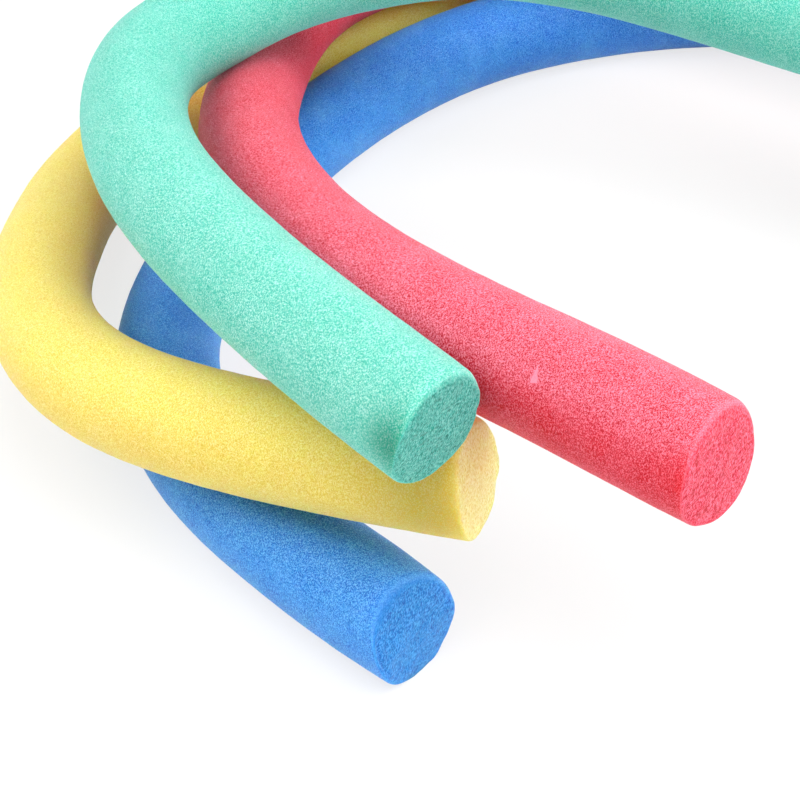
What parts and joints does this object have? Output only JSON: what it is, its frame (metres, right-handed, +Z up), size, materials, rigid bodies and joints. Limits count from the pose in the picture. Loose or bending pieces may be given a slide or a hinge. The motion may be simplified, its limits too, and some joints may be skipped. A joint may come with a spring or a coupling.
{
  "type": "pool noodle",
  "caption": "Solid foam pool noodles, each bent into an open U and stacked in a loose pile; buoyant round bars to hold, ride or swim with.",
  "frame": {"origin": "on the floor, under the centre of the pile's box", "axes": "+Z up; +Y away from the viewer of the picture; +X to the viewer's right"},
  "size_m": [0.9918, 0.8836, 0.2167],
  "materials": {
    "blue_foam": "matte",
    "yellow_foam": "matte",
    "red_foam": "matte",
    "green_foam": "matte"
  },
  "bodies": {
    "blue_noodle": {"blue_noodle": "blue_foam"},
    "yellow_noodle": {"yellow_noodle": "yellow_foam"},
    "red_noodle": {"red_noodle": "red_foam"},
    "green_noodle": {"green_noodle": "green_foam"}
  },
  "joints": [
    {"name": "yellow_lift", "type": "slide", "parent": "blue_noodle", "child": "yellow_noodle", "axis": [0, 0, 1], "range_m": [0, 0.3]},
    {"name": "red_lift", "type": "slide", "parent": "yellow_noodle", "child": "red_noodle", "axis": [0, 0, 1], "range_m": [0, 0.3]},
    {"name": "green_lift", "type": "slide", "parent": "red_noodle", "child": "green_noodle", "axis": [0, 0, 1], "range_m": [0, 0.3]}
  ]
}
